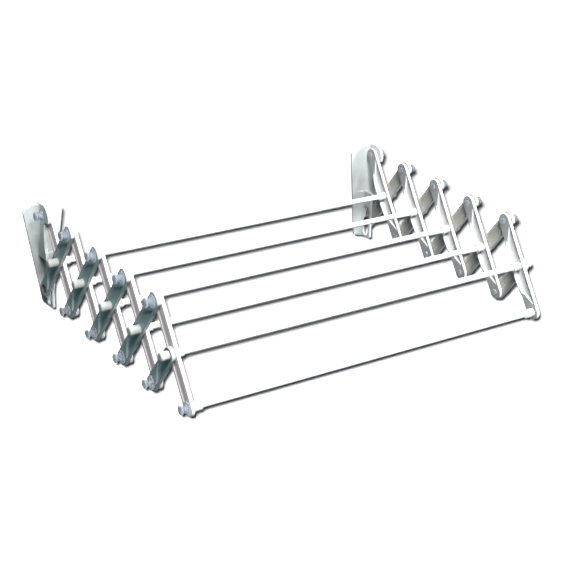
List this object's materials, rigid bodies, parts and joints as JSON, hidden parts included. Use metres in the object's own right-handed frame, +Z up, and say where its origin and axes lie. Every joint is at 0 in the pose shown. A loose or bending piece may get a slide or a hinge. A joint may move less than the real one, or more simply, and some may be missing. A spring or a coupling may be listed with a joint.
{
  "type": "pull-out concertina wall drying rack",
  "caption": "White wall-mounted drying rack that pulls out on two lazy-tong chains of moulded plastic arms, with coated metal rods running across between the sides.",
  "frame": {"origin": "on the wall plane, midway between the two sides, level with the two fixed top pivots", "axes": "+X along the rods to the right as seen from the room, +Y into the wall, +Z up; the rack reaches out along -Y"},
  "size_m": [0.543, 0.3655, 0.1366],
  "materials": {
    "arm_plastic": "satin",
    "bracket_plastic": "satin",
    "knob_plastic": "satin",
    "ferrule_plastic": "satin",
    "tube_coating": "gloss"
  },
  "bodies": {
    "wall_side": {"wall_bracket_left": "bracket_plastic", "wall_bracket_right": "bracket_plastic", "fixed_pin_left": "knob_plastic", "fixed_pin_right": "knob_plastic"},
    "inner_bay_1": {"inner_arm_1_left": "arm_plastic", "inner_arm_1_right": "arm_plastic", "drying_rod_1": "tube_coating"},
    "outer_bay_1": {"outer_arm_1_left": "arm_plastic", "outer_arm_1_right": "arm_plastic", "top_pin_1_left": "knob_plastic", "top_pin_1_right": "knob_plastic"},
    "inner_bay_2": {"inner_arm_2_left": "arm_plastic", "inner_arm_2_right": "arm_plastic", "drying_rod_2": "tube_coating"},
    "outer_bay_2": {"outer_arm_2_left": "arm_plastic", "outer_arm_2_right": "arm_plastic", "top_pin_2_left": "knob_plastic", "top_pin_2_right": "knob_plastic", "bottom_pin_1_left": "knob_plastic", "bottom_pin_1_right": "knob_plastic"},
    "inner_bay_3": {"inner_arm_3_left": "arm_plastic", "inner_arm_3_right": "arm_plastic", "drying_rod_3": "tube_coating"},
    "outer_bay_3": {"outer_arm_3_left": "arm_plastic", "outer_arm_3_right": "arm_plastic", "top_pin_3_left": "knob_plastic", "top_pin_3_right": "knob_plastic", "bottom_pin_2_left": "knob_plastic", "bottom_pin_2_right": "knob_plastic"},
    "inner_bay_4": {"inner_arm_4_left": "arm_plastic", "inner_arm_4_right": "arm_plastic", "drying_rod_4": "tube_coating"},
    "outer_bay_4": {"outer_arm_4_left": "arm_plastic", "outer_arm_4_right": "arm_plastic", "top_pin_4_left": "knob_plastic", "top_pin_4_right": "knob_plastic", "bottom_pin_3_left": "knob_plastic", "bottom_pin_3_right": "knob_plastic"},
    "inner_bay_5": {"inner_arm_5_left": "arm_plastic", "inner_arm_5_right": "arm_plastic", "drying_rod_5": "tube_coating", "end_spool_left": "knob_plastic", "ferrule_left": "ferrule_plastic", "ferrule_right": "ferrule_plastic", "drying_rod_6": "tube_coating"},
    "outer_bay_5": {"outer_arm_5_left": "arm_plastic", "outer_arm_5_right": "arm_plastic", "bottom_pin_4_left": "knob_plastic", "bottom_pin_4_right": "knob_plastic"}
  },
  "joints": [
    {"name": "pull_out", "type": "hinge", "parent": "wall_side", "child": "inner_bay_1", "pos_m": [0, -0.0165, 0], "axis": [-1, 0, 0], "range_deg": [-17, 11]},
    {"name": "middle_pivot_1", "type": "hinge", "parent": "inner_bay_1", "child": "outer_bay_1", "pos_m": [0, -0.05048, -0.04854], "axis": [-1, 0, 0], "range_deg": [-22, 34]},
    {"name": "top_pivot_1", "type": "hinge", "parent": "outer_bay_1", "child": "inner_bay_2", "pos_m": [0, -0.08447, 0], "axis": [-1, 0, 0], "range_deg": [-34, 22]},
    {"name": "middle_pivot_2", "type": "hinge", "parent": "inner_bay_2", "child": "outer_bay_2", "pos_m": [0, -0.11845, -0.04854], "axis": [-1, 0, 0], "range_deg": [-22, 34]},
    {"name": "top_pivot_2", "type": "hinge", "parent": "outer_bay_2", "child": "inner_bay_3", "pos_m": [0, -0.15244, 0], "axis": [-1, 0, 0], "range_deg": [-34, 22]},
    {"name": "middle_pivot_3", "type": "hinge", "parent": "inner_bay_3", "child": "outer_bay_3", "pos_m": [0, -0.18642, -0.04854], "axis": [-1, 0, 0], "range_deg": [-22, 34]},
    {"name": "top_pivot_3", "type": "hinge", "parent": "outer_bay_3", "child": "inner_bay_4", "pos_m": [0, -0.22041, 0], "axis": [-1, 0, 0], "range_deg": [-34, 22]},
    {"name": "middle_pivot_4", "type": "hinge", "parent": "inner_bay_4", "child": "outer_bay_4", "pos_m": [0, -0.25439, -0.04854], "axis": [-1, 0, 0], "range_deg": [-22, 34]},
    {"name": "top_pivot_4", "type": "hinge", "parent": "outer_bay_4", "child": "inner_bay_5", "pos_m": [0, -0.28837, 0], "axis": [-1, 0, 0], "range_deg": [-34, 22]},
    {"name": "middle_pivot_5", "type": "hinge", "parent": "inner_bay_5", "child": "outer_bay_5", "pos_m": [0, -0.32236, -0.04854], "axis": [-1, 0, 0], "range_deg": [-22, 34]}
  ],
  "couplings": [
    {"joint": "middle_pivot_1", "follows": "pull_out", "ratio": -2},
    {"joint": "top_pivot_1", "follows": "pull_out", "ratio": 2},
    {"joint": "middle_pivot_2", "follows": "pull_out", "ratio": -2},
    {"joint": "top_pivot_2", "follows": "pull_out", "ratio": 2},
    {"joint": "middle_pivot_3", "follows": "pull_out", "ratio": -2},
    {"joint": "top_pivot_3", "follows": "pull_out", "ratio": 2},
    {"joint": "middle_pivot_4", "follows": "pull_out", "ratio": -2},
    {"joint": "top_pivot_4", "follows": "pull_out", "ratio": 2},
    {"joint": "middle_pivot_5", "follows": "pull_out", "ratio": -2}
  ]
}
